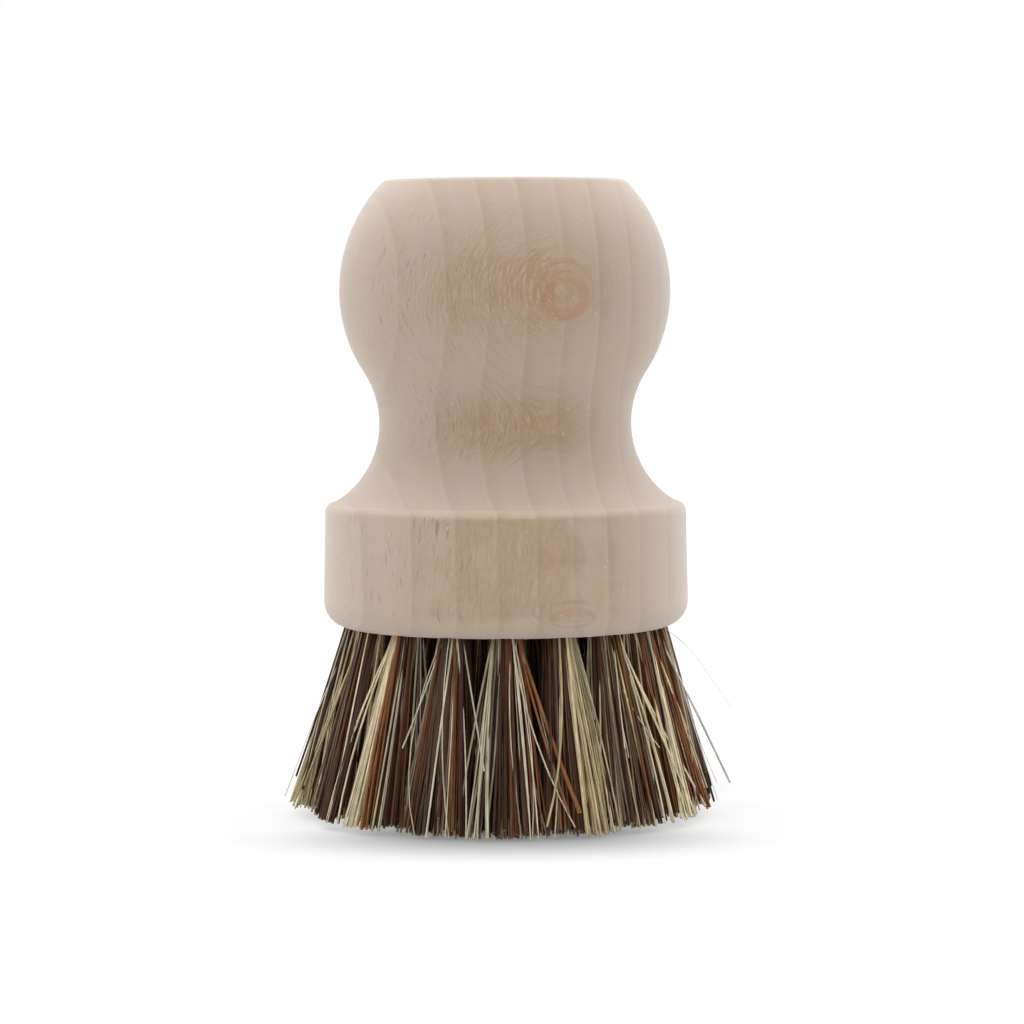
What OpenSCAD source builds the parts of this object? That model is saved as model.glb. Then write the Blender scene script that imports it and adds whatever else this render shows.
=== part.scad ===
// Pot brush: a grip turned from one piece of beech, drilled with rings of slanting holes.
// In each hole a tuft of stiff plant fibre is folded round a flat wire anchor and fans out below.
// Millimetres. The tips of the fibres stand on z = 0, and Z is the axis of the lathe.

/* [Head] */
// Widest diameter of the head, just above its rounded foot
head_d = 52.1; // [50:0.1:58]
// How much less the head measures across at the shoulder than at the foot
head_taper = 0.5; // [0:0.1:1.5]
// Height of the head, from its underside to the shoulder
head_h = 17.8; // [15:0.1:22]
// Radius of the rounding at the foot of the head
foot_round = 3.8; // [2:0.1:5]
// Radius of the rounding at the shoulder
shoulder_round = 1.4; // [0.5:0.1:1.8]

/* [Grip] */
// Diameter of the waist
waist_d = 36; // [33:0.1:40]
// Height of the waist above the shoulder
waist_rise = 11.2; // [10:0.1:14]
// Diameter of the knob
knob_d = 47.2; // [44:0.1:50]
// Height of the knob's widest place above the waist
knob_rise = 18.9; // [17:0.1:22]
// Radius of the hollow between the waist and the knob
neck_r = 13.7; // [10:0.1:15]
// Radius of the knob's curve above its widest place
crown_r = 22.3; // [20:0.1:26]
// Height of the flat top above the knob's widest place
crown_rise = 15.7; // [13:0.1:17]
// Radius of the rounding round the flat top
top_round = 1.2; // [0.3:0.1:1.5]

/* [Holes] */
// Number of rings of holes round the centre one, with six more holes in each ring
ring_count = 3; // [1:1:3]
// Distance from one ring of holes to the next, on the underside
ring_pitch = 7; // [6.6:0.1:7.2]
// Part of a step by which every second ring in from the outer one is turned, to close the gaps
ring_turn = 0.5; // [0.3:0.05:0.5]
// Slant of a hole away from the axis, for each ring out from the centre, in degrees
ring_slant = 3.8; // [0:0.1:4]
// Diameter of each hole
hole_d = 4.5; // [3.8:0.1:4.7]
// Depth of each hole along its axis, to where the drill point begins
hole_depth = 10.5; // [8:0.1:11]
// Angle of the drill's point, in degrees
drill_point = 118; // [90:1:140]

/* [Anchors] */
// Thickness of the flat anchor wire
wire_t = 0.5; // [0.3:0.05:0.7]
// Width of the flat anchor wire, along the hole
wire_w = 2; // [1.2:0.1:2.4]
// How far each end of an anchor bites into the wood beside its hole
wire_bite = 0.4; // [0.2:0.05:0.45]
// Clearance round an anchor, in its cuts and in its tuft
wire_clear = 0.02; // [0.01:0.01:0.05]

/* [Tufts] */
// Height from the tips of the fibres to the underside of the head
free_len = 26.9; // [20:0.1:35]
// Clearance between a tuft and the wall of its hole
tuft_clear = 0.1; // [0.05:0.01:0.2]
// Thickness of the fibres folded over the top of the anchor
fold_wall = 2; // [1.4:0.1:2.4]
// Gap between two tufts at their tips
tip_gap = 0.3; // [0.2:0.05:1]
// Number of strands of fibre that show round a tuft
strand_count = 24; // [8:1:24]
// Depth of the grooves between two strands at their tips
groove = 1.2; // [0.2:0.1:2]
// How unevenly the tips are trimmed
trim = 0.5; // [0:0.1:1.5]

/* [Hidden] */
$fn = 96;
overlap = 0.6;            // depth by which pieces of one solid run into each other
head_r = head_d / 2;
shoulder_r = head_r - head_taper / 2;
waist_r = waist_d / 2;
knob_r = knob_d / 2;
waist_z = head_h + waist_rise;
knob_z = waist_z + knob_rise;
wood_h = knob_z + crown_rise;

// Foot and shoulder roundings, and the angle of the side that is tangent to both
foot_c = [head_r - foot_round, foot_round];
shoulder_c = [shoulder_r - shoulder_round, head_h - shoulder_round];
side = shoulder_c - foot_c;
side_angle = atan2(side.y, side.x) - acos((foot_round - shoulder_round) / norm(side));
side_normal = [cos(side_angle), sin(side_angle)];

// The cove starts upright at the waist and ends where the shoulder's rounding starts
cove_width = shoulder_c.x - waist_r;
cove_r = (cove_width ^ 2 + waist_rise ^ 2) / (2 * cove_width);

// The hollow of the neck and the underside of the knob are two tangent arcs
knob_out = knob_r - waist_r;
knob_low_r = (knob_out ^ 2 + knob_rise ^ 2) / (2 * knob_out) - neck_r;
neck_c = [waist_r + neck_r, waist_z];
knob_low_c = [knob_r - knob_low_r, knob_z];
neck_share = neck_r / (neck_r + knob_low_r);
neck_end = neck_c + neck_share * (knob_low_c - neck_c);

// The crown's curve runs into the small rounding of the flat top
crown_c = [knob_r - crown_r, knob_z];
top_c_z = wood_h - top_round;
top_c = [crown_c.x + sqrt((crown_r - top_round) ^ 2 - (top_c_z - knob_z) ^ 2), top_c_z];
crown_end = crown_c + crown_r / (crown_r - top_round) * (top_c - crown_c);

hole_r = hole_d / 2;
drill_h = hole_r / tan(drill_point / 2);
shank_r = hole_r - tuft_clear;
shank_h = hole_depth - tuft_clear;
fold_r = 1.2 * shank_r;   // the fold is a little flatter than the tuft is round
wire_len = hole_d + 2 * wire_bite;
wire_z = shank_h - fold_wall - wire_w / 2;

root_r = shank_r - 0.15;   // the strands start well inside the bundle, clear of its edge
bend_levels = [0, 0.45, 1];         // places of a tuft's cross sections, from root to tip
sway = 0.15;                        // how far a strand wanders from a straight line
squareness = 4;                     // 2 makes the outline of the tips round, and more makes it squarer
side_count = 2 * strand_count;

RING_NAMES = ["inner", "middle", "outer"];
FIBRE_COLORS = ["saddlebrown", "tan", "sienna", "burlywood", "peru"];
// Each tuft: its name, its ring and its number in the ring
TUFTS = concat(
    [["centre_tuft", 0, 1]],
    [for (ring = [1:ring_count]) for (i = [1:6 * ring])
        [str(RING_NAMES[ring - 1], "_tuft_", i), ring, i]]
);

// Turns its children to the direction of a tuft, where X points away from the axis
module at_angle(place) {
    // The first hole of the outer ring is at the front
    turned = (ring_count - place[1]) % 2 * ring_turn;
    rotate([0, 0, -90 + (place[2] - 1 + turned) * ring_step(place[1])]) children();
}

// Puts its children in a hole's own frame: the mouth at the origin, Z along the hole into the wood
module in_hole(place) {
    at_angle(place)
        translate([place[1] * ring_pitch, 0, free_len])
            rotate([0, -place[1] * ring_slant, 0])
                children();
}

// The angle from one tuft to the next in a ring
function ring_step(ring) = 360 / max(1, 6 * ring);

// How far a ring's tufts stand from the axis at their tips
function tip_radius(ring) = ring * ring_pitch + free_len * tan(ring * ring_slant);

// The head's half outline: foot rounding, side and shoulder rounding
module head_outline() {
    polygon([
        [0, 0],
        [foot_c.x, 0],
        foot_c,
        foot_c + foot_round * side_normal,
        shoulder_c + shoulder_round * side_normal,
        shoulder_c,
        [shoulder_c.x, head_h],
        [0, head_h]
    ]);
    translate(foot_c) circle(r = foot_round);
    translate(shoulder_c) circle(r = shoulder_round);
}

// The cove and the neck: a column hollowed by two arcs that meet upright at the waist
module neck_outline() {
    difference() {
        translate([0, head_h]) square([shoulder_c.x, neck_end.y - head_h]);
        intersection() {
            translate([waist_r + cove_r, waist_z]) circle(r = cove_r);
            square([head_d, waist_z]);
        }
        intersection() {
            translate(neck_c) circle(r = neck_r);
            translate([0, waist_z]) square([head_d, knob_rise]);
        }
    }
}

// The knob's half outline, in three bands that share their edges
module knob_outline() {
    intersection() {
        translate(knob_low_c) circle(r = knob_low_r);
        translate([0, neck_end.y]) square([knob_d, knob_z - neck_end.y]);
    }
    intersection() {
        translate(crown_c) circle(r = crown_r);
        translate([0, knob_z]) square([knob_d, crown_end.y - knob_z]);
    }
    intersection() {
        translate(top_c) circle(r = top_round);
        translate([top_c.x, crown_end.y]) square([knob_d, wood_h - crown_end.y]);
    }
    translate([0, crown_end.y]) square([top_c.x, wood_h - crown_end.y]);
}

module hole(place) {
    in_hole(place) {
        translate([0, 0, -hole_r]) cylinder(r = hole_r, h = hole_depth + hole_r);
        translate([0, 0, hole_depth]) cylinder(r1 = hole_r, r2 = 0, h = drill_h);
        translate([0, 0, wire_z]) anchor(wire_clear);
    }
}

// A piece of flat wire across the hole, or the cut that it bites, when margin is its clearance
module anchor(margin = 0) {
    cube([wire_t + 2 * margin, wire_len + 2 * margin, wire_w + 2 * margin], center = true);
}

module body() {
    color("wheat")
        difference() {
            translate([0, 0, free_len]) rotate_extrude() {
                head_outline();
                neck_outline();
                knob_outline();
            }
            for (place = TUFTS) hole(place);
        }
}

module anchor_wires() {
    color("silver")
        for (place = TUFTS)
            in_hole(place) translate([0, 0, wire_z]) anchor();
}

// The part of a tuft inside its hole: a round bundle, folded over the anchor
module shank() {
    difference() {
        intersection() {
            cylinder(r = shank_r, h = shank_h);
            rotate([90, 0, 0]) linear_extrude(height = hole_d, center = true) {
                translate([0, shank_h - fold_r]) circle(r = fold_r);
                translate([-hole_d, 0]) square([2 * hole_d, shank_h - fold_r]);
            }
        }
        translate([0, 0, wire_z]) anchor(wire_clear);
    }
}

// A point at the root of a tuft, on a circle inside the mouth of its hole
function root_point(ring, a) =
    let (
        slant = ring * ring_slant,
        x = root_r * cos(a)
    )
    [ring * ring_pitch + x * cos(slant) - overlap * sin(slant), root_r * sin(a),
     free_len + x * sin(slant) + overlap * cos(slant)];

// A point among the tips, on a rounded outline that fills the tuft's share of its ring
function tip_point(ring, a, depth, height) =
    let (
        radius = tip_radius(ring),
        long = (tip_radius(1) - tip_gap) / 2,
        wide = ring == 0 ? long : (radius * ring_step(ring) * PI / 180 - tip_gap) / 2,
        reach = (abs(cos(a) / long) ^ squareness + abs(sin(a) / wide) ^ squareness)
            ^ (-1 / squareness) - depth,
        turn = ring == 0 ? 0 : reach * sin(a) / radius * 180 / PI
    )
    ring == 0
        ? [(long - depth) * cos(a), (long - depth) * sin(a), height]
        : [(radius + reach * cos(a)) * cos(turn), (radius + reach * cos(a)) * sin(turn), height];

// The part of a tuft below its hole: strands and grooves that fan out to trimmed tips
module fan(place) {
    ring = place[1];
    seed = 100 * ring + place[2];
    short = rands(0, groove / 3, side_count, seed);
    cut = rands(0, trim, side_count, seed + 1000);
    drift = rands(-sway, sway, side_count, seed + 2000);
    points = [
        for (level = bend_levels) for (j = [0:side_count - 1])
            let (
                a = 360 * j / side_count,
                strand = j % 2 == 0,
                root = root_point(ring, a),
                tip = tip_point(ring, a, strand ? short[j] : groove,
                    j == 0 ? 0 : strand ? cut[j] : trim),
                bend = level * (1 - level) * 4 * drift[j]
            )
            root + level * (tip - root) + bend * [-sin(a), cos(a), 0]
    ];
    slant = ring * ring_slant;
    root_middle = [ring * ring_pitch - overlap * sin(slant), 0, free_len + overlap * cos(slant)];
    tip_middle = [tip_radius(ring), 0, trim];
    last = side_count * (len(bend_levels) - 1);
    sides = [
        for (level = [0:len(bend_levels) - 2]) for (j = [0:side_count - 1])
            let (
                a = level * side_count + j,
                b = level * side_count + (j + 1) % side_count
            )
            each [[a, b, b + side_count], [a, b + side_count, a + side_count]]
    ];
    root_end = [for (j = [0:side_count - 1]) [len(points), (j + 1) % side_count, j]];
    tip_end = [for (j = [0:side_count - 1])
        [len(points) + 1, last + j, last + (j + 1) % side_count]];
    polyhedron(concat(points, [root_middle, tip_middle]), concat(sides, root_end, tip_end));
}

module tuft(place) {
    color(FIBRE_COLORS[(place[1] + 3 * place[2]) % len(FIBRE_COLORS)]) {
        in_hole(place) shank();
        at_angle(place) fan(place);
    }
}

body();
for (place = TUFTS) {
    tuft(place);
}
anchor_wires();
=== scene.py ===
"""A pot brush: a beech grip turned on a lathe, with tufts of stiff plant fibre in its head.

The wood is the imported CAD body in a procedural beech. Each packed tuft is replaced by single
fibres, which leave the same hole and end on the same outline at the floor.
"""

import math
from typing import NamedTuple

import bpy
import numpy as np
from mathutils import Matrix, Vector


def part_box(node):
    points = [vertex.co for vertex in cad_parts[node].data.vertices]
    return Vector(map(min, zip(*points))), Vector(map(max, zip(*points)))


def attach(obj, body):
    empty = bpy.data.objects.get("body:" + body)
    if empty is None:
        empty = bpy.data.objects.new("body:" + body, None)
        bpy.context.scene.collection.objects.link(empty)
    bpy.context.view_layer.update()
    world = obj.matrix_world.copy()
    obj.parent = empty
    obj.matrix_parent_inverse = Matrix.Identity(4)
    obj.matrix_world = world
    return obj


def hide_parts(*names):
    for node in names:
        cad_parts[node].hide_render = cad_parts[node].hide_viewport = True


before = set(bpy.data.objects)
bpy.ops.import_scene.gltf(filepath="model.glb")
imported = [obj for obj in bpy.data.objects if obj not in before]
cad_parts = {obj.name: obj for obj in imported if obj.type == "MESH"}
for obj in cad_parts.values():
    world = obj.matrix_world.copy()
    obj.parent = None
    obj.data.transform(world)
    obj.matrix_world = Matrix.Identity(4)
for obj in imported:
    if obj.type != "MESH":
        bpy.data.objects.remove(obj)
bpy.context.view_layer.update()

MM = 0.001

# The tufts' layout, in millimetres and degrees, as the CAD part has it
RING_NAMES = ["centre", "inner", "middle", "outer"]
OUTER_RING = len(RING_NAMES) - 1
RING_PITCH = 7.0
RING_SLANT = 3.8
RING_SHIFT = 0.5
ROOT_RADIUS = 2.0
TIP_GAP = 0.1
SQUARENESS = 4.0
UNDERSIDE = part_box("body")[0].z / MM
FIRST_ANGLE = -90.0

# The camera, fitted to the photograph
CAMERA_DISTANCE = 559.0
CAMERA_HEIGHT = 75.0
CAMERA_ASIDE = 0.914
CAMERA_PITCH = 3.26
CAMERA_ROLL = -0.22
LENS = 137.55
SENSOR = 36.0
CLIP_START = 0.01
CLIP_END = 20.0

# The room: a white floor and a white tent, with its light from each side. The floor's contact
# shade fades between two distances from the axis, and towards the brush's two sides. Each slope
# says between which shares of a direction the tent's light changes
FLOOR_SIZE = 6000.0
FLOOR_WHITE = 0.66
FLOOR_BOUNCE = 0.71
FLOOR_GLOW = 0.6
CONTACT_DARK = 0.64
CONTACT_FAR = 54.0
CONTACT_NEAR = 24.0
CONTACT_ASIDE = 0.45
TENT_WHITE = 1.0
TENT_FRONT = 0.26
TENT_LEFT = 0.48
TENT_RIGHT = 0.28
TENT_BACK = 0.6
TENT_TOP = 2.85
TENT_TOP_LEAN = 13.0
TENT_SIDE_SLOPE = (0.25, 0.95)
TENT_BACK_SLOPE = (-0.2, 0.6)
TENT_TOP_SLOPE = (0.3, 0.95)


def srgb(red, green, blue):
    """A colour that is given as it looks, from 0 to 255, as linear light."""
    return [
        c / 12.92 if c <= 0.04045 else ((c + 0.055) / 1.055) ** 2.4
        for c in (red / 255, green / 255, blue / 255)
    ]


class Graph:
    """Adds and joins the nodes of one material or world."""

    def __init__(self, tree):
        self.tree = tree
        tree.nodes.clear()

    def add(self, kind, inputs=(), **settings):
        node = self.tree.nodes.new(kind)
        for name, value in settings.items():
            setattr(node, name, value)
        for name, value in dict(inputs).items():
            self.put(node.inputs[name], value)
        return node

    def put(self, socket, value):
        if isinstance(value, bpy.types.NodeSocket):
            self.tree.links.new(value, socket)
        elif socket.type == "RGBA" and len(value) == 3:
            socket.default_value = [*value, 1.0]
        else:
            socket.default_value = value

    def math(self, operation, *values, clamp=False):
        node = self.add("ShaderNodeMath", operation=operation, use_clamp=clamp)
        for socket, value in zip(node.inputs, values):
            self.put(socket, value)
        return node.outputs[0]

    def vector(self, operation, *values):
        node = self.add("ShaderNodeVectorMath", operation=operation)
        for socket, value in zip(node.inputs, values):
            self.put(socket, value)
        return node.outputs["Value" if operation in ("DOT_PRODUCT", "LENGTH") else 0]

    def step(self, value, low, high, to_low=0.0, to_high=1.0):
        """A smooth step of value between low and high."""
        node = self.add("ShaderNodeMapRange", interpolation_type="SMOOTHSTEP")
        for socket, v in zip(node.inputs, (value, low, high, to_low, to_high)):
            self.put(socket, v)
        return node.outputs[0]

    def band(self, value, rise, fall):
        """1 between a smooth rise and a smooth fall of value, 0 outside."""
        return self.math("MULTIPLY", self.step(value, *rise), self.step(value, *fall, 1.0, 0.0))

    def noise(self, place, detail, roughness=0.5):
        inputs = {"Vector": place, "Scale": 1.0, "Detail": detail, "Roughness": roughness}
        return self.add("ShaderNodeTexNoise", inputs).outputs["Fac"]

    def mix(self, share, a, b, blend="MIX"):
        """Colour a, with a share of colour b mixed in."""
        node = self.add("ShaderNodeMix", data_type="RGBA", blend_type=blend)
        for at, value in ((0, share), (6, a), (7, b)):
            self.put(node.inputs[at], value)
        return node.outputs[2]

    def stretched(self, place, sizes):
        """A place whose unit is sizes, so that a pattern on it has features of that size."""
        return self.vector("MULTIPLY", place, [1 / s for s in sizes])

    def pattern(self, place, pattern):
        return self.noise(self.stretched(place, pattern.size), pattern.detail, pattern.roughness)

    def bump(self, height, strength, distance):
        """A normal bent by a height; distance is its full depth in millimetres."""
        inputs = {"Strength": strength, "Distance": distance * MM, "Height": height}
        return self.add("ShaderNodeBump", inputs).outputs[0]

    def surface(self, inputs):
        """Ends a material with a Principled surface that has these inputs."""
        shader = self.add("ShaderNodeBsdfPrincipled", inputs)
        self.add("ShaderNodeOutputMaterial", {"Surface": shader.outputs[0]})


def new_material(name):
    material = bpy.data.materials.get(name) or bpy.data.materials.new(name)
    material.use_nodes = True
    return material, Graph(material.node_tree)


# Beech: places are in millimetres, turned so that X crosses the growth rings, Y crosses the rays
# and Z runs along the grain
PINK_WOOD = srgb(172, 148, 130)
SAND_WOOD = srgb(170, 148, 124)
WARM_WOOD = srgb(157, 123, 84)
LATE_WOOD = srgb(140, 112, 84)
PALE_WOOD = srgb(205, 188, 166)
# The colour of the lathe's cuts, and of the painted shade on torn fibres
FLECK_AND_SHADE_WOOD = srgb(108, 78, 52)
AMBER_WOOD = srgb(158, 112, 74)
RING_TURN = 15.5
RAY_TURN = 21.0

# Growth rings: how wide a year is, where one starts, how far it leans for each millimetre up, and
# how far its rings wander. The levels are shares of a year, from late wood to the next year's edge
YEAR_WIDTH = 5.3
YEAR_START = -3.3
YEAR_LEAN = 0.015
WANDER_DEPTH = 1.2
WAVE_DEPTH = 0.3
LATE_RISE = (0.0, 0.05)
LATE_FALL = (0.0, 0.5)
EDGE_RISE = (0.86, 0.97)
EDGE_FALL = (0.985, 1.0)

# Sanded wood scatters light at its surface, which a pale sheen stands for
SHEEN = 0.38
SHEEN_ROUGHNESS = 0.7

# The head is painted paler and less warm, for light it lacks from below, and is less torn than the
# knob
HEAD_HEIGHT = 17.8
HEAD_TOP = UNDERSIDE + HEAD_HEIGHT
HEAD_BLEND = 1.0
HEAD_PAINTED_LIGHT = 0.24
HEAD_WARM_PAINTED_LIGHTER = 0.72
HEAD_TORN = 0.45

# Sides of the blank: the angle of its face, and the levels between which a surface that turns
# towards it shows its pattern. Only steep sides, by the upright levels, show it fully
RAY_SIDE = (5.0, 0.72, 0.99)
TORN_SIDE = (-16.0, 0.66, 0.97)
CUT_SIDE = (-42.0, 0.75, 0.95)
UPRIGHT_LEVELS = (0.04, 0.45)


class Pattern(NamedTuple):
    """A noise in the wood: the size of a feature in millimetres, and how fine it is."""

    size: tuple
    detail: float
    roughness: float = 0.5


# Torn fibres and ray plates are thin across Y, so they run in rings round the bull's eye
WANDER = Pattern((30, 30, 70), 1.0)
WAVES = Pattern((1.2, 2, 6), 2.0)
FLAKE_EDGE = Pattern((0.5, 0.5, 0.9), 2.0)
TORN = Pattern((1.3, 0.13, 1.5), 2.0, 0.6)
PLATES = Pattern((22, 0.22, 8), 1.0)
CUTS = Pattern((2.6, 0.22, 2.4), 1.0)
PORES = Pattern((0.10, 0.10, 0.8), 1.0)
PATCHES = Pattern((4.5, 4.5, 4), 3.0, 0.6)
HUES = Pattern((3.5, 3.5, 7), 2.0)
SPECKS = Pattern((0.35, 0.35, 0.7), 1.0)

# The levels of each pattern between which it shows, and how strongly it does
HUE_LEVELS = (0.35, 0.65)
WARM_GAIN = 1.6
WARM_LOSS = 0.2
WARM_SHARE = 0.9
TONE_SHARE = 0.15
LATE_LEVELS = (0.2, 0.8)
LATE_SHARES = (0.12, 0.28)
EDGE_SHARE = 0.06
PLATE_LEVELS = (0.55, 0.62)
PLATE_SHARE = 0.2
TORN_LEVELS = (0.05, 0.20)
# Torn fibres' painted shade and painted highlight come from a copy of the strokes shifted by
# TORN_LIT_FROM
TORN_LIT_FROM = [0.1, 0.55, 0.1]
TORN_SLOPES = 0.4
TORN_PAINTED_SHADE = 0.27
TORN_PAINTED_HIGHLIGHT = 0.3
TORN_RELIEF = 0.7
PORE_RELIEF = 0.3
CUT_LEVELS = (0.66, 0.71)
CUT_SHARE = 0.5
PORE_LEVELS = (0.40, 0.28)
PORE_SHARE = 0.16
SPECK_LEVELS = (0.74, 0.78)
SPECK_SHARE = 0.7


class Flake(NamedTuple):
    """A flat ray flake just under the surface, in millimetres."""

    height: float
    face: float     # how far from the axis it meets the surface
    lean: float     # how much deeper it lies for each millimetre up
    ring: float     # the depth at which its ring begins
    arc: float      # half the depth that an arc takes
    reach: float    # how far its arcs go to each side
    share: float    # how strongly it shows


# The flakes that show as a ring: one on the knob, so far below the flat top, and one at the
# head's foot, so far above the underside
KNOB_FLAKE_DOWN = 15.7
HEAD_FLAKE_UP = 2.8
FLAKES = [
    Flake(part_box("body")[1].z / MM - KNOB_FLAKE_DOWN, 23.6, 0.038, 0.11, 0.035, 2.8, 0.5),
    Flake(UNDERSIDE + HEAD_FLAKE_UP, 25.92, 0.25, 0.19, 0.13, 4.2, 0.3),
]

# A flake's ring and arcs, by how deep they lie and how far they are from its height
FLAKE_RAGGED = 0.10
FLAKE_RING_EDGE = 0.04
FLAKE_RING_FALL = (0.27, 0.36)
FLAKE_RING_TOP = (0.5, 2.2)
FLAKE_ARCS = (0.31, 0.55)
FLAKE_ARCS_FROM = (1.6, 2.4)
FLAKE_DEEPEST = (1.0, 0.6)
FLAKE_FARTHEST = (9.0, 7.0)


def turned_place(g, turn):
    """The place in millimetres, turned about the lathe's axis."""
    coordinates = g.add("ShaderNodeTexCoord").outputs["Object"]
    place = g.vector("MULTIPLY", coordinates, [1 / MM] * 3)
    inputs = {"Vector": place, "Angle": -math.radians(turn)}
    return g.add("ShaderNodeVectorRotate", inputs, rotation_type="Z_AXIS").outputs[0]


def year_rings(g, place):
    """(shade of the late wood, the pale edge before the next year, a tone for each year)."""
    across, _, high = g.add("ShaderNodeSeparateXYZ", {0: place}).outputs
    high = g.math("SUBTRACT", high, FLAKES[0].height)
    across = g.math("MULTIPLY_ADD", high, YEAR_LEAN, across)
    across = g.math("MULTIPLY_ADD", g.pattern(place, WANDER), WANDER_DEPTH, across)
    across = g.math("MULTIPLY_ADD", g.pattern(place, WAVES), WAVE_DEPTH, across)
    start = YEAR_START + (WANDER_DEPTH + WAVE_DEPTH) / 2
    years = g.math("DIVIDE", g.math("SUBTRACT", across, start), YEAR_WIDTH)
    share = g.math("FRACT", years)
    number = g.math("FLOOR", years)
    tone = g.add("ShaderNodeTexWhiteNoise", {"W": number}, noise_dimensions="1D").outputs["Value"]
    return g.band(share, LATE_RISE, LATE_FALL), g.band(share, EDGE_RISE, EDGE_FALL), tone


def ray_flake(g, place, flake):
    """Where a thin flake just under the surface shows: a ring below, thin arcs above."""
    x, y, z = g.add("ShaderNodeSeparateXYZ", {0: place}).outputs
    depth = g.math("ADD", y, flake.face)
    depth = g.math("MULTIPLY_ADD", g.pattern(place, FLAKE_EDGE), FLAKE_RAGGED, depth)
    height = g.math("SUBTRACT", z, flake.height)
    depth = g.math("MULTIPLY_ADD", height, flake.lean, depth)

    lower = g.band(depth, (flake.ring, flake.ring + FLAKE_RING_EDGE), FLAKE_RING_FALL)
    lower = g.math("MULTIPLY", lower, g.step(height, *FLAKE_RING_TOP, 1.0, 0.0))

    first, second = [g.math("ABSOLUTE", g.math("SUBTRACT", depth, at)) for at in FLAKE_ARCS]
    arcs = g.math(
        "MAXIMUM",
        g.step(first, flake.arc / 3, flake.arc, 1.0, 0.0),
        g.step(second, flake.arc / 3, flake.arc, 1.0, 0.0),
    )
    arcs = g.math("MULTIPLY", arcs, g.step(height, *FLAKE_ARCS_FROM))
    aside = g.step(g.math("ABSOLUTE", x), flake.reach / 2, flake.reach, 1.0, 0.0)
    arcs = g.math("MULTIPLY", arcs, aside)

    level = g.step(g.math("ABSOLUTE", height), *FLAKE_FARTHEST)
    near = g.math("MULTIPLY", g.step(depth, *FLAKE_DEEPEST), level)
    return g.math("MULTIPLY", g.math("MAXIMUM", lower, arcs), near)


def uprightness(g):
    """How upright the surface is, from 0 to 1."""
    normal = g.add("ShaderNodeNewGeometry").outputs["Normal"]
    up = g.add("ShaderNodeSeparateXYZ", {0: normal}).outputs[2]
    return g.step(g.math("ABSOLUTE", up), *UPRIGHT_LEVELS, 1.0, 0.0)


def facing(g, side):
    """How squarely the surface faces a side of the blank, or its opposite, from 0 to 1."""
    turn, low, high = side
    angle = math.radians(turn)
    normal = g.add("ShaderNodeNewGeometry").outputs["Normal"]
    along = g.vector("DOT_PRODUCT", normal, [math.sin(angle), -math.cos(angle), 0])
    return g.step(g.math("ABSOLUTE", along), low, high)


def by_head(g, place, on_head, above):
    """A value that changes at the top of the head."""
    high = g.add("ShaderNodeSeparateXYZ", {0: place}).outputs[2]
    return g.step(high, HEAD_TOP - HEAD_BLEND, HEAD_TOP + HEAD_BLEND, on_head, above)


def plain_wood(g, place, patches):
    """Pink to sandy wood, painted paler on the head, with warm patches where a steep side shows
    rays.

    The slopes and the sides to the left and right stay paler, which is partly a painted sheen.
    """
    colour = g.mix(g.step(g.pattern(place, HUES), *HUE_LEVELS), PINK_WOOD, SAND_WOOD)
    # Painted light: the head is painted paler, in place of light it lacks
    colour = g.mix(by_head(g, place, HEAD_PAINTED_LIGHT, 0.0), colour, PALE_WOOD)
    mottle = g.math("MULTIPLY_ADD", patches, WARM_GAIN, -WARM_LOSS)
    # Warm only on upright faces towards the front and back: the paler slopes and left and right
    # sides are partly a painted sheen
    ray_faces_and_sheen = g.math("MULTIPLY", uprightness(g), facing(g, RAY_SIDE))
    warm = g.math("MULTIPLY", ray_faces_and_sheen, mottle, clamp=True)
    # Painted light: the head is painted less warm, so that it looks lighter
    warm = g.math("MULTIPLY", warm, by_head(g, place, HEAD_WARM_PAINTED_LIGHTER, 1.0))
    return g.mix(g.math("MULTIPLY", warm, WARM_SHARE), colour, WARM_WOOD)


def add_years(g, colour, place, patches):
    """Growth rings: each year has its tone, its late wood and a pale edge."""
    late, edge, tone = year_rings(g, place)
    colour = g.mix(g.math("MULTIPLY", tone, TONE_SHARE), colour, WARM_WOOD)
    strength = g.math("MULTIPLY", g.step(patches, *LATE_LEVELS, *LATE_SHARES), late)
    colour = g.mix(strength, colour, LATE_WOOD)
    return g.mix(g.math("MULTIPLY", edge, EDGE_SHARE), colour, PALE_WOOD)


def add_rays(g, colour, place):
    """Faint ray plates, and the flakes."""
    plates = g.step(g.pattern(place, PLATES), *PLATE_LEVELS)
    plates = g.math("MULTIPLY", plates, facing(g, RAY_SIDE))
    colour = g.mix(g.math("MULTIPLY", plates, PLATE_SHARE), colour, LATE_WOOD)
    for flake in FLAKES:
        shown = g.math("MULTIPLY", ray_flake(g, place, flake), flake.share)
        colour = g.mix(shown, colour, AMBER_WOOD)
    return colour


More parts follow.
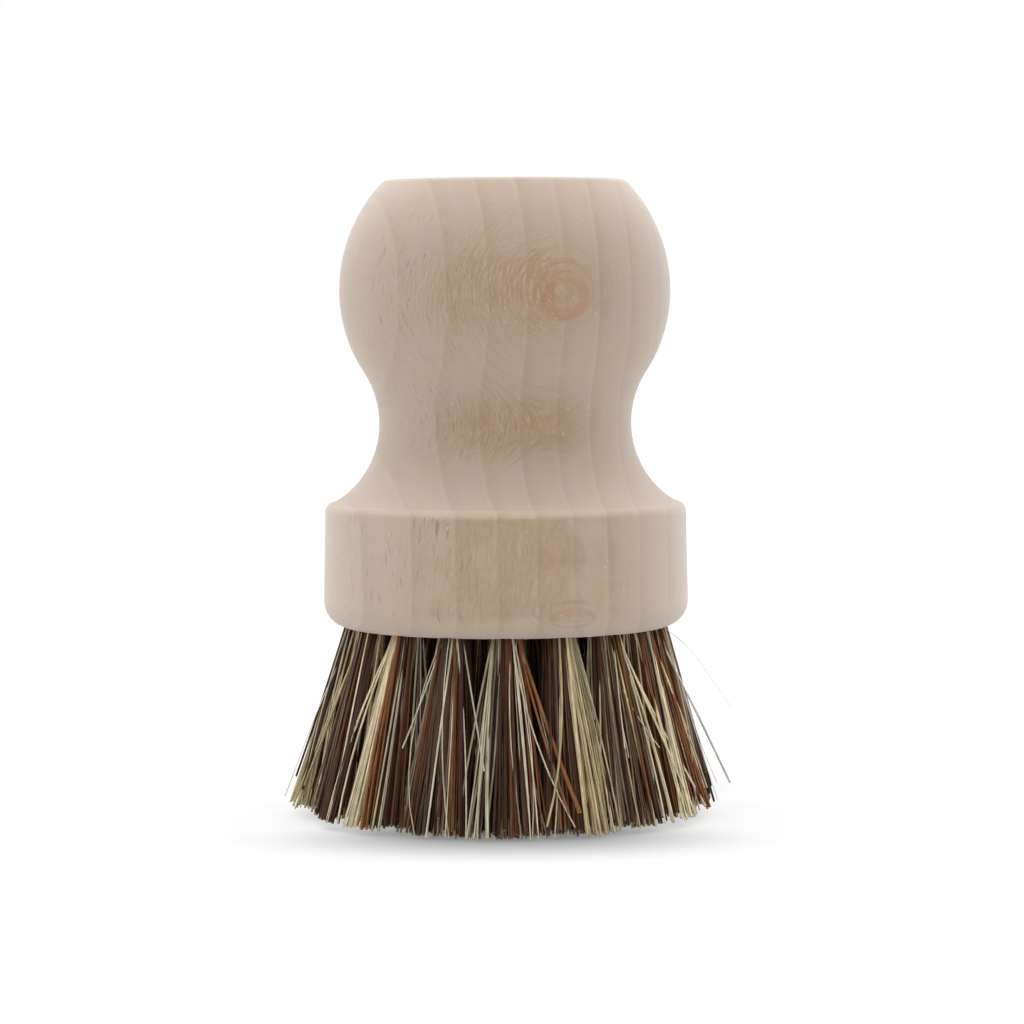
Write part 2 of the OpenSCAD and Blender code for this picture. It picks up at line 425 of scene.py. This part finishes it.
def add_tears(g, colour, place, torn):
    """Torn fibres with a painted shade and a painted highlight, and the short dark cuts of the
    lathe.
    """
    lit = g.vector("ADD", g.stretched(place, TORN.size), TORN_LIT_FROM)
    relief = g.math("SUBTRACT", torn, g.noise(lit, TORN.detail, TORN.roughness))
    tearing = g.math("MULTIPLY", facing(g, TORN_SIDE), by_head(g, place, HEAD_TORN, 1.0))
    steep = g.math("MULTIPLY_ADD", uprightness(g), 1 - TORN_SLOPES, TORN_SLOPES)
    rough = g.math("MULTIPLY", tearing, steep)
    low, high = TORN_LEVELS
    # Painted shade on one side of each torn fibre and a painted highlight on the other, as if lit
    # from TORN_LIT_FROM
    dark = g.math("MULTIPLY", g.step(relief, low, high), rough)
    colour = g.mix(g.math("MULTIPLY", dark, TORN_PAINTED_SHADE), colour, FLECK_AND_SHADE_WOOD)
    light = g.math("MULTIPLY", g.step(relief, -low, -high), rough)
    colour = g.mix(g.math("MULTIPLY", light, TORN_PAINTED_HIGHLIGHT), colour, PALE_WOOD)
    cuts = g.math("MULTIPLY", g.step(g.pattern(place, CUTS), *CUT_LEVELS), facing(g, CUT_SIDE))
    return g.mix(g.math("MULTIPLY", cuts, CUT_SHARE), colour, FLECK_AND_SHADE_WOOD)


def beech():
    """Pale beech, sanded raw: growth rings, ray flecks, torn fuzz, pores and specks."""
    material, g = new_material("beech")
    by_ring, by_ray = turned_place(g, RING_TURN), turned_place(g, RAY_TURN)
    patches = g.pattern(by_ray, PATCHES)
    torn = g.pattern(by_ray, TORN)
    pores = g.pattern(by_ray, PORES)
    specks = g.pattern(by_ray, SPECKS)

    colour = plain_wood(g, by_ray, patches)
    colour = add_years(g, colour, by_ring, patches)
    colour = add_rays(g, colour, by_ray)
    colour = add_tears(g, colour, by_ray, torn)
    colour = g.mix(g.step(pores, *PORE_LEVELS, 0.0, PORE_SHARE), colour, LATE_WOOD)
    colour = g.mix(g.step(specks, *SPECK_LEVELS, 0.0, SPECK_SHARE), colour, PALE_WOOD)

    sunk = g.math("MULTIPLY", pores, PORE_RELIEF)
    height = g.math("MULTIPLY_ADD", torn, TORN_RELIEF, sunk)
    g.surface(
        {
            "Base Color": colour,
            "Roughness": 0.6,
            "Normal": g.bump(height, strength=0.4, distance=0.08),
            "Specular IOR Level": 0.5,
            "Sheen Weight": SHEEN,
            "Sheen Roughness": SHEEN_ROUGHNESS,
        }
    )
    return material


# Streaks and blotches along a fibre: the levels between which they show, and how dark and how
# light they make it. On the streaks' map one side of a fibre is STREAK_STEP wide, in millimetres
STREAK_STEP = 0.12
STREAKS = Pattern((STREAK_STEP, 4.0, 1), 3.0, 0.65)
STREAK_LEVELS = (0.35, 0.65)
STREAK_TONES = (0.74, 1.2)
BLOTCHES = Pattern((1.0, 2.5, 1), 2.0)
BLOTCH_LEVELS = (0.3, 0.7)
BLOTCH_TONES = (0.85, 1.12)


def plant_fibre():
    """Each fibre has its own tint, with dark and light streaks along it."""
    material, g = new_material("plant_fibre")
    tint = g.add("ShaderNodeAttribute", attribute_name="tint").outputs["Color"]
    place = g.add("ShaderNodeUVMap", uv_map="fibre").outputs[0]
    streaks = g.pattern(place, STREAKS)
    tone = g.step(streaks, *STREAK_LEVELS, *STREAK_TONES)
    blotches = g.step(g.pattern(place, BLOTCHES), *BLOTCH_LEVELS, *BLOTCH_TONES)
    tone = g.math("MULTIPLY", tone, blotches)
    shade = g.add("ShaderNodeCombineXYZ", {0: tone, 1: tone, 2: tone}).outputs[0]
    g.surface(
        {
            "Base Color": g.mix(1.0, tint, shade, "MULTIPLY"),
            "Roughness": 0.55,
            "Normal": g.bump(streaks, strength=0.5, distance=0.05),
            "Specular IOR Level": 0.25,
        }
    )
    return material


def steel_wire():
    """Drawn steel wire, flattened."""
    material, g = new_material("steel_wire")
    g.surface({"Base Color": srgb(190, 188, 184), "Metallic": 1.0, "Roughness": 0.35})
    return material


class Kind(NamedTuple):
    """One kind of fibre: colours that its clumps lie between, and sizes in millimetres."""

    dark: list
    light: list
    width: float    # half its width
    thickness: float
    stray: float    # how far its tip wanders
    bow: float
    rise: float     # how far its tip ends above the floor


KINDS = {
    "u": Kind(srgb(56, 33, 22), srgb(84, 54, 37), 0.20, 0.14, 0.5, 0.25, 0.75),
    "r": Kind(srgb(84, 50, 29), srgb(138, 89, 51), 0.20, 0.14, 0.6, 0.3, 0.7),
    "d": Kind(srgb(78, 62, 47), srgb(114, 95, 75), 0.19, 0.13, 0.7, 0.4, 0.6),
    "s": Kind(srgb(184, 164, 124), srgb(226, 212, 178), 0.15, 0.12, 1.3, 0.7, 0.15),
    "g": Kind(srgb(150, 142, 112), srgb(190, 184, 156), 0.15, 0.12, 1.2, 0.7, 0.15),
    "p": Kind(srgb(180, 168, 140), srgb(218, 206, 182), 0.11, 0.09, 2.6, 1.2, 0.1),
    "h": Kind(srgb(228, 226, 220), srgb(240, 238, 234), 0.06, 0.05, 2.6, 1.2, 0.1),
    "w": Kind(srgb(200, 194, 186), srgb(216, 210, 202), 0.20, 0.16, 2.6, 1.2, 0.1),
}
TIP_WOOD = srgb(190, 172, 142)

# The kinds across some front tufts, from left to right as seen from outside
PHOTO_MIX = {
    15: "ssgssugssuss",
    16: "sssuuuuuuuss",
    17: "pssssrruuurg",
    18: "ggrrduspruuu",
    1: "uuggurrupdrr",
    2: "uudurudsssss",
    3: "uudssugsruss",
    4: "srrruurrsurs",
    5: "surrrsduudss",
}
ANY_MIX = "uuuuuurrrddsssggp"
INNER_MIX = "uuuuurrrdddssgg"

# Strands that lie on the front: kind, how many, and the angle from the front at the root, halfway
# and at the tip, with the share of the length that they reach
STRANDS = [
    ("p", 1, -22.0, -30.0, -38.0, 0.57), ("p", 1, -23.0, -28.5, -23.5, 1.0),
    ("p", 2, -18.0, -18.0, -18.0, 1.0), ("g", 3, -4.5, -5.5, -5.0, 1.0),
    ("g", 2, -5.0, -8.0, -10.5, 1.0), ("p", 1, -15.5, -8.0, -3.0, 0.66),
    ("p", 2, 3.0, 6.5, 8.0, 1.0), ("p", 1, 2.0, 8.5, 19.0, 0.95),
    ("r", 3, 4.5, 12.5, 20.0, 0.88), ("s", 1, 18.5, 16.0, 9.0, 0.93),
    ("s", 6, 21.0, 23.5, 25.0, 1.0), ("g", 2, 24.0, 29.0, 33.0, 0.5),
    ("p", 1, 37.0, 37.5, 38.0, 0.63), ("p", 1, 38.0, 46.5, 75.0, 0.62),
    ("s", 2, 43.0, 52.0, 60.0, 1.0), ("s", 2, 44.5, 54.5, 69.0, 0.98),
    ("p", 1, 59.5, 58.5, 58.0, 0.36), ("s", 2, 64.5, 73.0, 76.0, 0.9),
    ("p", 1, -64.5, -65.5, -64.0, 0.63), ("s", 4, -76.0, -84.0, -88.0, 1.0),
    ("s", 3, -64.0, -70.5, -77.0, 1.0), ("s", 3, -44.5, -51.5, -52.0, 1.0),
    ("s", 6, -42.5, -42.5, -43.0, 1.0), ("r", 3, -40.0, -41.0, -40.0, 1.0),
    ("g", 3, -37.0, -35.0, -34.0, 1.0), ("r", 2, 75.5, 71.0, 73.0, 1.0),
    ("u", 8, -68.5, -63.5, -60.0, 1.0), ("u", 8, -55.5, -52.5, -51.5, 1.0),
    ("s", 2, 52.6, 52.3, 52.0, 1.0), ("s", 2, 65.0, 60.0, 55.0, 1.0),
    ("p", 1, 40.4, 36.5, 35.7, 0.58), ("s", 1, 42.7, 48.0, 50.2, 0.58),
    ("s", 4, 46.0, 50.0, 50.5, 1.0), ("s", 3, 61.0, 58.0, 57.0, 1.0),
]

# The strands of one entry spread by so many degrees, and more at their tips. Each leaves its hole
# within a small angle, in radians, and ends just outside the outer tips and above the floor
STRAND_SPREAD = 0.9
STRAND_FAN = 1.6
STRAND_SWING = 0.08
STRAND_LIFT = (0.3, 0.9)
STRAND_ROOM = (0.0, 0.3)

# Loose fibres that stand out at the sides: kind, the outer tuft that holds them, and their points
LOOSE = [
    ("w", 5, [(21.0, -4.9, 29.0), (22.9, -5.8, 23.0), (26.5, -6.6, 16.0), (31.7, -7.0, 5.0)]),
    ("h", 5, [(21.2, -3.9, 29.0), (22.5, -4.3, 26.8), (25.2, -5.3, 24.9), (27.6, -6.0, 22.0),
             (31.9, -6.0, 15.7)]),
    ("h", 15, [(-21.2, -4.2, 29.0), (-23.8, -5.0, 22.0), (-26.8, -5.4, 15.5), (-31.5, -6.0, 3.2)]),
    ("h", 5, [(21.4, -4.4, 29.0), (24.5, -5.4, 20.0), (27.2, -6.0, 11.0), (30.0, -6.6, 2.4)]),
    ("h", 5, [(21.4, -4.0, 29.0), (24.6, -5.0, 20.0), (27.4, -5.6, 11.0), (29.9, -6.0, 4.8)]),
]

# Fibres: how many a tuft of each ring has, their sides and segments, how deep in their hole they
# start, and the share of the last segment that is the pale cut end
FIBRES_PER_TUFT = [80, 80, 130, 260]
SIDES = 5
SEGMENTS = 7
ROOT_DEPTH = 2.0
CUT_END = 0.06
TIP_SHARE = 0.4
WIDTH_SPREAD = (0.75, 1.25)
EDGE_SPREAD = (0.86, 1.14)
BOW_SPREAD = 0.5
RING_SEED = 1000

# Fibres stand on a sunflower's spiral across their hole, and each clump across it is of one kind,
# with a share of others. The inner side of a tuft has a mix and clumps of its own, and all the
# strands and loose fibres of a tuft count as one clump
SPIRAL_TURN = 137.508
STAND_SPREAD = 0.12
CLUMPS = 12
STRAND_CLUMP = 3 * CLUMPS
TONES = 4 * CLUMPS
CLUMP_BLUR = 0.05
INNER_SIDE = -0.15
SWAP_SHARE = 0.16
TONE_SPREAD = 0.16

# Tips: their least height above the floor and the spread of their rise, the short fibres, how far
# the tips rise at the brush's sides, and how far they are drawn in there
TIP_ROOM = 0.1
RISE_SHAPE = 2.0
RISE_SCALE = 0.5
TIP_SPREAD = 0.3
SHORT_SHARE = 0.05
SHORT_HEIGHT = 9.0
SIDE_RISE = 1.5
LEFT_PULL = 0.6
RIGHT_PULL = 1.5

# The maps: on the one for streaks each fibre starts at a place of its own, and on the one to bake
# it has a strip, with its two cut ends beyond the strip's end
STREAK_FIELD = 50
STRIP_EDGE = 0.04
STRIP_WIDTH = 0.92
STRIP_START = 0.01
STRIP_LENGTH = 0.93
END_DISC = 0.25
END_SPOTS = (0.96, 0.985)
END_HEIGHT = 0.03


def ring_step(ring):
    return 360.0 / max(1, 6 * ring)


def tip_radius(ring):
    return ring * RING_PITCH + UNDERSIDE * math.tan(math.radians(ring * RING_SLANT))


def side_pull(angle):
    """How far the outer tips are drawn in at this angle: most at the brush's two sides."""
    across = math.cos(math.radians(angle))
    return (RIGHT_PULL if across > 0 else LEFT_PULL) * across ** 2


def tip_offset(ring, angle, reach):
    """How far out and how far around a fibre's tip stands from the middle of its tuft's tips."""
    long = (tip_radius(1) - TIP_GAP) / 2
    if ring == 0:
        return reach * long * np.cos(angle), reach * long * np.sin(angle)
    wide = (tip_radius(ring) * math.radians(ring_step(ring)) - TIP_GAP) / 2
    edge = (
        np.abs(np.cos(angle) / long) ** SQUARENESS + np.abs(np.sin(angle) / wide) ** SQUARENESS
    ) ** (-1 / SQUARENESS)
    return reach * edge * np.cos(angle), reach * edge * np.sin(angle)


def polar(radius, turn, height):
    """Points at a distance from the axis, turned from the tuft's own direction by an arc angle."""
    return np.stack([radius * np.cos(turn), radius * np.sin(turn), height], axis=-1)


def stands_across(count, rng):
    """Where fibres stand in their hole: share of its radius and angle, spread evenly."""
    order = np.arange(count)
    turn = order * math.radians(SPIRAL_TURN) + rng.normal(0, STAND_SPREAD, count)
    return np.sqrt((order + 0.5) / count), turn


def pick_kinds(ring, number, reach, angle, rng):
    """(a kind, a clump) for each fibre: clumps lie side by side, with some fibres mixed in."""
    count = len(reach)
    across = reach * np.sin(angle) + rng.normal(0, CLUMP_BLUR, count)
    clump = np.clip(((across + 1) / 2 * CLUMPS).astype(int), 0, CLUMPS - 1)
    outside = reach * np.cos(angle) > INNER_SIDE
    mix = PHOTO_MIX.get(number) if ring == OUTER_RING else None
    if mix is None:
        mix = rng.choice(list(ANY_MIX), CLUMPS)
    within = rng.choice(list(INNER_MIX), CLUMPS)
    own = np.where(outside, np.array(list(mix))[clump], within[clump])
    other = rng.choice(list(ANY_MIX), count)
    swap = rng.random(count) < SWAP_SHARE
    return np.where(swap, other, own), clump + CLUMPS * outside


def of_kinds(kinds, field):
    """One value of each fibre's kind."""
    return np.array([getattr(KINDS[k], field) for k in kinds])


def tuft_roots(ring, reach, angle):
    """Where a tuft's fibres start, inside their slanted hole."""
    slant = math.radians(ring * RING_SLANT)
    x, y = ROOT_RADIUS * reach * np.cos(angle), ROOT_RADIUS * reach * np.sin(angle)
    out = ring * RING_PITCH + x * math.cos(slant) - ROOT_DEPTH * math.sin(slant)
    up = UNDERSIDE + x * math.sin(slant) + ROOT_DEPTH * math.cos(slant)
    return np.stack([out, y, up], axis=-1)


def tuft_tips(ring, heading, reach, angle, kinds, rng):
    """Where a tuft's fibres end; heading is the tuft's direction in degrees."""
    count = len(reach)
    out, around = tip_offset(ring, angle, reach)
    out = out + rng.normal(0, TIP_SPREAD, count)
    around = around + rng.normal(0, 1.0, count) * of_kinds(kinds, "stray")
    height = TIP_ROOM + rng.gamma(RISE_SHAPE, RISE_SCALE, count) * of_kinds(kinds, "rise")
    height += SIDE_RISE * math.cos(math.radians(heading)) ** 2 * ring / OUTER_RING
    short = rng.random(count) < SHORT_SHARE
    height = np.where(short, rng.uniform(0.1, 1.0, count) * SHORT_HEIGHT, height)
    if ring == 0:
        return np.stack([out, around, height], axis=-1)
    radius = tip_radius(ring) + out - side_pull(heading) * ring / OUTER_RING
    return polar(radius, around / radius.mean(), height)


def tuft_paths(ring, heading, reach, angle, kinds, rng):
    """The points along each fibre of a tuft, in the tuft's own direction."""
    root = tuft_roots(ring, reach, angle)
    tip = tuft_tips(ring, heading, reach, angle, kinds, rng)
    levels = np.linspace(0, 1, SEGMENTS + 1)[None, :, None]
    bow = rng.normal(0, BOW_SPREAD, (len(reach), 1, 2)) * of_kinds(kinds, "bow")[:, None, None]
    points = root[:, None] + levels * (tip - root)[:, None]
    points[:, :, :2] += bow * 4 * levels * (1 - levels)
    return points


def strand_path(angles, share, spread, turned, rng):
    """A front strand's points: its angle follows a parabola from the hole's edge to the tip.

    The points are turned back by the tuft's own angle, as all points of a tuft are.
    """
    first, half, last = angles[0], angles[1] + spread, angles[2] + STRAND_FAN * spread
    middle = OUTER_RING * RING_PITCH
    off = np.clip(math.radians(first - turned + spread / 2), -STRAND_SWING, STRAND_SWING)
    edge = math.sqrt(ROOT_RADIUS ** 2 - (middle * math.sin(off)) ** 2)
    start = middle * math.cos(off) + edge

    levels = np.linspace(0, 1, SEGMENTS + 1)
    down = -ROOT_DEPTH / UNDERSIDE + levels * (share + ROOT_DEPTH / UNDERSIDE)
    slope, bend = 4 * half - 3 * first - last, 2 * first + 2 * last - 4 * half
    turn = np.where(down < 0, first, first + slope * down + bend * down ** 2)
    turn = np.radians(turn - turned)
    turn = turn - turn[0] + off

    outside = tip_radius(OUTER_RING) + (tip_radius(1) - TIP_GAP) / 2
    end = outside + rng.uniform(*STRAND_LIFT) - side_pull(FIRST_ANGLE + angles[2])
    low = TIP_ROOM + rng.uniform(*STRAND_ROOM)
    low += SIDE_RISE * math.sin(math.radians(angles[2])) ** 2
    return polar(start + (end - start) * down, turn, UNDERSIDE - (UNDERSIDE - low) * down)


def strand_paths(turned, rng):
    """(points, kinds) of the front strands whose roots are in the outer tuft at this angle."""
    paths, kinds = [], []
    for kind, count, *angles, share in STRANDS:
        if abs(angles[0] - turned) > ring_step(OUTER_RING) / 2:
            continue
        for _ in range(count):
            spread = rng.normal(0, STRAND_SPREAD) if count > 1 else 0
            paths.append(strand_path(angles, share, spread, turned, rng))
            kinds.append(kind)
    return paths, kinds


def loose_paths(number, turned):
    """(points, kinds) of the loose fibres that this outer tuft holds."""
    paths, kinds = [], []
    for kind, tuft, places in LOOSE:
        if tuft == number:
            places = rotated(np.array(places), -FIRST_ANGLE - turned)
            spots = np.linspace(0, len(places) - 1, SEGMENTS + 1)
            at = np.arange(len(places))
            paths.append(np.stack([np.interp(spots, at, places[:, k]) for k in range(3)], -1))
            kinds.append(kind)
    return paths, kinds


def cross_sections(kinds, rng):
    """Each fibre's outline, as SIDES offsets in millimetres across it."""
    around = np.linspace(0, 2 * np.pi, SIDES, endpoint=False)
    size = rng.uniform(*WIDTH_SPREAD, (len(kinds), 1))
    wide, thick = of_kinds(kinds, "width")[:, None] * size, of_kinds(kinds, "thickness")[:, None]
    rough = rng.uniform(*EDGE_SPREAD, (len(kinds), SIDES))
    turn = rng.uniform(0, np.pi, len(kinds))
    a, b = wide * np.cos(around) * rough, thick * size * np.sin(around) * rough
    c, s = np.cos(turn)[:, None], np.sin(turn)[:, None]
    return np.stack([a * c - b * s, a * s + b * c], axis=-1)


def fibre_tints(kinds, clumps, rng):
    """A colour for each fibre: its clump's tone, a little lighter or darker."""
    tone = rng.random(TONES)[clumps]
    share = np.clip(tone + rng.normal(0, TONE_SPREAD, len(kinds)), 0, 1)[:, None]
    low, high = of_kinds(kinds, "dark"), of_kinds(kinds, "light")
    return low + share * (high - low)


def first_turn(ring):
    """Which way a ring's first tuft stands: every second ring is turned by half a step."""
    turned = (OUTER_RING - ring) % 2
    return FIRST_ANGLE + turned * RING_SHIFT * ring_step(ring)


def rotated(points, degrees):
    a = math.radians(degrees)
    turn = np.array([[math.cos(a), -math.sin(a), 0], [math.sin(a), math.cos(a), 0], [0, 0, 1]])
    return points @ turn.T


def sweep(points, sections):
    """Vertices of fibres: each section repeated at each point of its path, (fibre, point, side)."""
    along = np.gradient(points, axis=1)
    along /= np.linalg.norm(along, axis=-1, keepdims=True)
    side = np.cross(along, [0.0, 1.0, 0.0])
    side /= np.linalg.norm(side, axis=-1, keepdims=True)
    other = np.cross(along, side)
    s = sections[:, None, :, :]
    return points[:, :, None] + s[..., :1] * side[:, :, None] + s[..., 1:] * other[:, :, None]


def tube_faces(count, rings):
    """Quads of the walls and the two ends of count closed tubes, with SIDES sides each."""
    fibre = np.arange(count)[:, None, None] * rings * SIDES
    level = np.arange(rings - 1)[None, :, None] * SIDES
    side = np.arange(SIDES)[None, None, :]
    after = (side + 1) % SIDES
    base = fibre + level
    walls = np.stack([base + side, base + after, base + SIDES + after, base + SIDES + side], -1)
    ends = np.arange(SIDES)
    first = fibre[:, 0] + ends[::-1]
    last = fibre[:, 0] + (rings - 1) * SIDES + ends
    return walls, first, last


def strip_maps(count, rings, lengths, rng):
    """Two maps for the walls of fibres: millimetres for the streaks, and a strip each to bake."""
    fibre = np.arange(count)[:, None, None]
    level = np.arange(rings - 1)[None, :, None]
    side = np.arange(SIDES)[None, None, :]
    corners = [(0, 0), (1, 0), (1, 1), (0, 1)]
    streak, strip = [], []
    offset = rng.uniform(0, STREAK_FIELD, (count, 1, 1))
    for across, down in corners:
        u = np.broadcast_to((side + across) * STREAK_STEP + offset, (count, rings - 1, SIDES))
        v = (level + down) / (rings - 1) * lengths[:, None, None] + offset
        streak.append(np.stack([u, np.broadcast_to(v, u.shape)], -1))
        u = (fibre + STRIP_EDGE + STRIP_WIDTH * (side + across) / SIDES) / count
        v = STRIP_START + STRIP_LENGTH * (level + down) / (rings - 1)
        u = np.broadcast_to(u, (count, rings - 1, SIDES))
        strip.append(np.stack([u, np.broadcast_to(v, u.shape)], -1))
    return np.stack(streak, -2), np.stack(strip, -2)


def end_maps(count):
    """Each fibre's two cut ends on both maps, as a small disc each."""
    around = np.linspace(0, 2 * np.pi, SIDES, endpoint=False)
    disc = np.stack([np.cos(around), np.sin(around)], -1) * END_DISC
    fibre = np.arange(count)[:, None]
    streak = np.broadcast_to(disc + fibre[..., None], (count, SIDES, 2))
    across = (fibre + 0.5 + disc[:, 0]) / count
    strip = []
    for spot in END_SPOTS:
        down = np.broadcast_to(spot + END_HEIGHT * disc[:, 1], across.shape)
        strip.append(np.stack([across, down], -1))
    return [streak, streak], strip


def add_map(mesh, name, walls, ends):
    """A map of the faces in their order: the walls, all first ends and all last ends."""
    layer = mesh.uv_layers.new(name=name)
    places = np.concatenate([part.reshape(-1, 2) for part in (walls, *ends)])
    layer.data.foreach_set("uv", places.astype(np.float32).ravel())


def add_tints(mesh, shape, tints):
    """Each fibre's colour on its vertices, paler on its cut tip."""
    colour = np.ones((*shape, 4), np.float32)
    colour[..., :3] = tints[:, None, None]
    colour[:, -1, :, :3] = (1 - TIP_SHARE) * colour[:, -1, :, :3] + TIP_SHARE * np.array(TIP_WOOD)
    layer = mesh.attributes.new("tint", "FLOAT_COLOR", "POINT")
    layer.data.foreach_set("color", colour.ravel())


def fibre_mesh(name, points, sections, tints, rng):
    """One mesh of closed fibres, with their tints and maps."""
    count, rings = points.shape[:2]
    vertices = sweep(points, sections)
    walls, first, last = tube_faces(count, rings)
    faces = walls.reshape(-1, 4).tolist() + first.tolist() + last.tolist()
    mesh = bpy.data.meshes.new(name)
    mesh.from_pydata((vertices.reshape(-1, 3) * MM).tolist(), [], faces)

    lengths = np.linalg.norm(np.diff(points, axis=1), axis=-1).sum(1)
    streak, strip = strip_maps(count, rings, lengths, rng)
    streak_ends, strip_ends = end_maps(count)
    add_map(mesh, "fibre", streak, streak_ends)
    add_map(mesh, "OFBake", strip, strip_ends)
    add_tints(mesh, (count, rings, SIDES), tints)

    smooth = np.zeros(len(faces), bool)
    smooth[: walls.size // 4] = True
    mesh.polygons.foreach_set("use_smooth", smooth)
    mesh.validate()
    return mesh


def trim_level(points):
    """Adds a level just before each tip, so that only the cut end is pale."""
    back = points[:, -1:] + (points[:, -2:-1] - points[:, -1:]) * CUT_END
    return np.concatenate([points[:, :-1], back, points[:, -1:]], axis=1)


def add_tuft(ring, number, material):
    """The fibres of one hole, in place of the CAD tuft."""
    node = "centre_tuft" if ring == 0 else f"{RING_NAMES[ring]}_tuft_{number}"
    rng = np.random.default_rng(RING_SEED * ring + number)
    angle = first_turn(ring) + (number - 1) * ring_step(ring)
    turned = (angle - FIRST_ANGLE + 180) % 360 - 180

    reach, around = stands_across(FIBRES_PER_TUFT[ring], rng)
    kinds, clumps = pick_kinds(ring, number, reach, around, rng)
    points = tuft_paths(ring, angle, reach, around, kinds, rng)
    if ring == OUTER_RING:
        for paths, more in (strand_paths(turned, rng), loose_paths(number, turned)):
            if paths:
                points = np.concatenate([points, np.array(paths)])
                kinds = np.concatenate([kinds, more])
                clumps = np.concatenate([clumps, np.full(len(more), STRAND_CLUMP)])
    points = rotated(trim_level(points), angle)
    mesh = fibre_mesh(
        node + "_fibres", points, cross_sections(kinds, rng), fibre_tints(kinds, clumps, rng), rng
    )
    mesh.materials.append(material)
    tuft = bpy.data.objects.new(node + "_fibres", mesh)
    bpy.context.scene.collection.objects.link(tuft)
    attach(tuft, "root")
    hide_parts(node)


def paint(node, material):
    """Gives a CAD node its material."""
    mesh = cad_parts[node].data
    mesh.materials.clear()
    mesh.materials.append(material)


def contact_shade(g):
    """How bright the floor is, from 0 to 1: darker before and behind the brush, not beside it."""
    place = g.add("ShaderNodeNewGeometry").outputs["Position"]
    away = g.vector("LENGTH", place)
    depth = g.math("ABSOLUTE", g.add("ShaderNodeSeparateXYZ", {0: place}).outputs[1])
    near = g.step(away, CONTACT_FAR * MM, CONTACT_NEAR * MM)
    before = g.step(g.math("DIVIDE", depth, away), CONTACT_ASIDE, 1.0)
    dark = g.math("MULTIPLY", g.math("MULTIPLY", near, before), CONTACT_DARK)
    return g.math("SUBTRACT", 1.0, dark)


def floor_white():
    """White: the camera sees it glow, with its contact shade, and other light meets it plain."""
    material, g = new_material("floor_white")
    contact = contact_shade(g)
    lit = g.add("ShaderNodeBsdfDiffuse", {"Color": g.math("MULTIPLY", contact, FLOOR_WHITE)})
    glow = g.add("ShaderNodeEmission", {"Color": [1, 1, 1], "Strength": contact})
    seen = g.add("ShaderNodeMixShader", {0: FLOOR_GLOW, 1: lit.outputs[0], 2: glow.outputs[0]})
    bounce = g.add("ShaderNodeBsdfDiffuse", {"Color": [FLOOR_BOUNCE] * 3})
    path = g.add("ShaderNodeLightPath").outputs["Is Camera Ray"]
    both = g.add("ShaderNodeMixShader", {0: path, 1: bounce.outputs[0], 2: seen.outputs[0]})
    g.add("ShaderNodeOutputMaterial", {"Surface": both.outputs[0]})
    return material


def build_floor():
    """The floor, under the tips of the fibres."""
    half = FLOOR_SIZE * MM / 2
    mesh = bpy.data.meshes.new("floor")
    corners = [(-half, -half, 0), (half, -half, 0), (half, half, 0), (-half, half, 0)]
    mesh.from_pydata(corners, [], [(0, 1, 2, 3)])
    mesh.materials.append(floor_white())
    floor = bpy.data.objects.new("floor", mesh)
    bpy.context.scene.collection.objects.link(floor)


def build_tent():
    """White light from all round, dim from the front and bright from above and a little behind.

    The camera itself sees the tent plain white.
    """
    world = bpy.data.worlds.new("tent")
    bpy.context.scene.world = world
    world.use_nodes = True
    g = Graph(world.node_tree)
    direction = g.add("ShaderNodeTexCoord").outputs["Generated"]
    x, y = g.add("ShaderNodeSeparateXYZ", {0: direction}).outputs[:2]
    low, high = TENT_SIDE_SLOPE
    level = g.step(x, low, high, TENT_FRONT, TENT_RIGHT)
    level = g.math("MAXIMUM", level, g.step(x, -high, -low, TENT_LEFT, TENT_FRONT))
    level = g.math("MAXIMUM", level, g.step(y, *TENT_BACK_SLOPE, TENT_FRONT, TENT_BACK))
    lean = math.radians(TENT_TOP_LEAN)
    above = g.vector("DOT_PRODUCT", direction, [0, math.sin(lean), math.cos(lean)])
    rest = g.math("SUBTRACT", TENT_TOP, level)
    level = g.math("MULTIPLY_ADD", g.step(above, *TENT_TOP_SLOPE), rest, level)
    light = g.add("ShaderNodeBackground", {"Color": [1, 1, 1], "Strength": level})
    seen = g.add("ShaderNodeBackground", {"Color": [TENT_WHITE] * 3, "Strength": 1.0})
    path = g.add("ShaderNodeLightPath").outputs["Is Camera Ray"]
    both = g.add("ShaderNodeMixShader", {0: path, 1: light.outputs[0], 2: seen.outputs[0]})
    g.add("ShaderNodeOutputWorld", {"Surface": both.outputs[0]})


def build_camera():
    """In front, nearly as high as the knob, looking slightly down."""
    data = bpy.data.cameras.new("camera")
    data.lens, data.sensor_width = LENS, SENSOR
    data.clip_start, data.clip_end = CLIP_START, CLIP_END
    camera = bpy.data.objects.new("camera", data)
    camera.location = (CAMERA_ASIDE * MM, -CAMERA_DISTANCE * MM, CAMERA_HEIGHT * MM)
    tilt = Matrix.Rotation(math.radians(90 - CAMERA_PITCH), 3, "X")
    roll = Matrix.Rotation(math.radians(CAMERA_ROLL), 3, "Z")
    camera.rotation_euler = (tilt @ roll).to_euler()
    bpy.context.scene.collection.objects.link(camera)
    bpy.context.scene.camera = camera


def build_brush():
    """Wood, anchors and fibres."""
    paint("body", beech())
    paint("anchor_wires", steel_wire())
    fibre = plant_fibre()
    for ring in range(len(RING_NAMES)):
        for number in range(1, max(1, 6 * ring) + 1):
            add_tuft(ring, number, fibre)


build_brush()
build_floor()
build_tent()
build_camera()
bpy.context.scene.view_settings.view_transform = "Standard"
